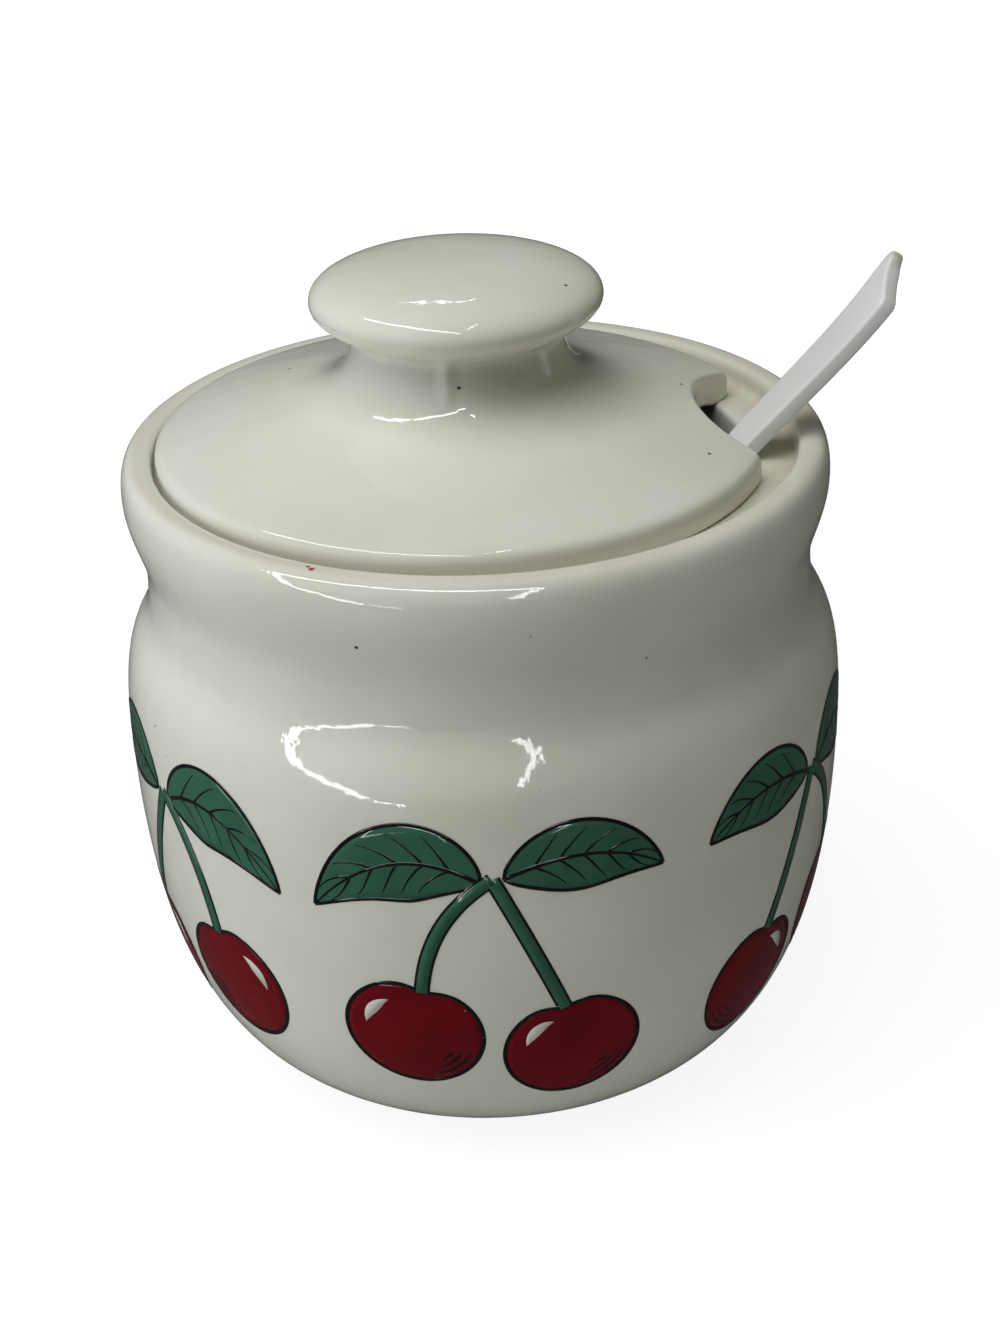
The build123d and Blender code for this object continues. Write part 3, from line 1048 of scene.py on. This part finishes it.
class JAMPOT_OT_stage(Operator):
    """Set the pale floor, the soft light and the camera at the photograph's viewing angle"""

    bl_idname = "jampot.stage"
    bl_label = "Stage"

    def execute(self, context):
        scene, colours = context.scene, context.scene.jam_pot.colours
        mesh = bmesh.new()
        bmesh.ops.create_grid(mesh, x_segments=2, y_segments=2, size=3)
        data = bpy.data.meshes.new("floor")
        mesh.to_mesh(data)
        mesh.free()
        below_foot = 0.02 * MM
        data.transform(Matrix.Translation(-UP * below_foot))
        floor = placed("floor", data)
        material, tree, where = start_material("pale_floor")
        glow_mirrored, shade_seen, shade_mirrored = 0.03, 0.25, 0.05
        away = put(tree, "VectorMath", {0: where}, operation="LENGTH").outputs["Value"]
        seen = seen_white(tree, glow_mirrored)
        white = maths(tree, "MULTIPLY", seen, ramped(tree, away, 0.05, 0.4, 0.9, 1))
        path = put(tree, "LightPath").outputs
        shade = mixed(tree, path["Is Camera Ray"], colours.floor, dimmed(colours.floor, shade_seen))
        shade = mixed(tree, path["Is Glossy Ray"], shade, dimmed(colours.floor, shade_mirrored))
        lit = put(tree, "BsdfDiffuse", {"Color": shade})
        plain = put(tree, "Emission", {"Color": (1, 1, 1, 1), "Strength": white})
        shown = put(tree, "AddShader", {0: lit.outputs[0], 1: plain.outputs[0]})
        put(tree, "OutputMaterial", {"Surface": shown.outputs[0]})
        data.materials.append(material)

        world = bpy.data.worlds.new("studio")
        scene.world = world
        world.use_nodes = True
        tree = world.node_tree
        tree.nodes.clear()
        soft = put(tree, "Background", {"Color": (1, 0.97, 0.72, 1), "Strength": 0.041})
        plain = put(tree, "Background", {"Color": (1, 1, 1, 1), "Strength": 1.0})
        seen = seen_white(tree, 0.06)
        shown = put(tree, "MixShader", {0: seen, 1: soft.outputs[0], 2: plain.outputs[0]})
        put(tree, "OutputWorld", {"Surface": shown.outputs[0]})

        target = (0, 0, 0.06)
        for name, place, extent, power, colour in (
            ("key", (-0.115, -0.137, 0.527), 0.4, 1.94, (1, 1, 1)),
            ("left", (-0.488, -0.086, 0.13), 0.26, 0.89, (0.92, 0.935, 1)),
            ("back", (-0.12, 0.47, 0.26), 0.3, 0.17, (1, 1, 1)),
            ("right", (0.4, 0.28, 0.2), 0.26, 0.14, (1, 0.97, 0.85)),
        ):
            soft_panel(name, place, target, extent, power, colour)
        front = piece_group("front_glints", ("pot_body", "pot_print"))
        bare = piece_group("front_glow", ("pot_body", "spoon_body"))
        over = piece_group("ceiling_glints", ("lid_body", "spoon_body"))
        for name, first, last, breadth, glow, group in (
            ("front_left_low", (-0.262, -0.392, 0.004), (-0.392, -0.258, 0.12), 0.022, 11, front),
            ("front_left_high", (-0.392, -0.258, 0.12), (-0.452, -0.155, 0.4), 0.034, 11, front),
            ("front_right", (0.08, -0.475, 0.12), (0.15, -0.454, 0.4), 0.022, 12, front),
            ("front_top", (-0.452, -0.155, 0.4), (0.15, -0.454, 0.4), 0.04, 18, front),
            ("front_low", (-0.245, -0.405, 0.004), (-0.185, -0.44, 0.001), 0.006, 18, front),
            ("front_glow", (-0.375, -0.27, 0.18), (0.095, -0.475, 0.18), 0.31, 0.5, bare),
            ("ceiling_front", (0.012, -0.23, 0.4), (-0.225, 0.104, 0.4), 0.018, 16, over),
            ("ceiling_back", (-0.07, 0.29, 0.4), (0.02, 0.29, 0.4), 0.007, 14, over),
            ("ceiling_right", (0.03, -0.13, 0.4), (0.045, -0.02, 0.4), 0.006, 16, over),
        ):
            glint_strip(name, first, last, target, breadth, glow, group)

        pitch, roll, yaw = radians(27.835), radians(2.04), radians(0.449)
        level = Matrix.Rotation(-yaw, 3, "Z") @ Matrix.Rotation(pi / 2 - pitch, 3, "X")
        lens = bpy.data.cameras.new("camera")
        sensor, focal_pixels, photo_pixels = 36, 2400, 1333
        lens.sensor_width = sensor
        lens.lens = sensor * focal_pixels / photo_pixels
        lens.clip_start = 0.01
        camera = placed("camera", lens)
        camera.location = (0, -0.30134, 0.2142)
        camera.rotation_euler = (level @ Matrix.Rotation(-roll, 3, "Z")).to_euler()
        scene.camera = camera
        scene.view_settings.view_transform = "Standard"
        return {"FINISHED"}


class JAMPOT_PT_panel(Panel):
    """Lists the jam pot's pieces in the order in which they are built"""

    bl_idname = "JAMPOT_PT_panel"
    bl_label = "Jam Pot"
    bl_space_type = "VIEW_3D"
    bl_region_type = "UI"
    bl_category = "Jam Pot"

    def draw(self, context):
        column = self.layout.column(align=True)
        for operator in operators:
            column.operator(operator.bl_idname)


operators = (JAMPOT_OT_pot, JAMPOT_OT_lid, JAMPOT_OT_spoon, JAMPOT_OT_print, JAMPOT_OT_stage)
classes = (PotSizes, LidSizes, SpoonSizes, PrintSizes, Colours, JamPot, *operators, JAMPOT_PT_panel)


def register():
    """Registers the classes and the scene's settings."""
    for cls in classes:
        bpy.utils.register_class(cls)
    bpy.types.Scene.jam_pot = PointerProperty(type=JamPot)


def unregister():
    """Removes the scene's settings and the classes."""
    del bpy.types.Scene.jam_pot
    for cls in reversed(classes):
        bpy.utils.unregister_class(cls)


def main():
    """Builds every piece in order."""
    register()
    bpy.ops.jampot.pot()
    bpy.ops.jampot.lid()
    bpy.ops.jampot.spoon()
    bpy.ops.jampot.print()
    bpy.ops.jampot.stage()


if __name__ == "__main__":
    main()
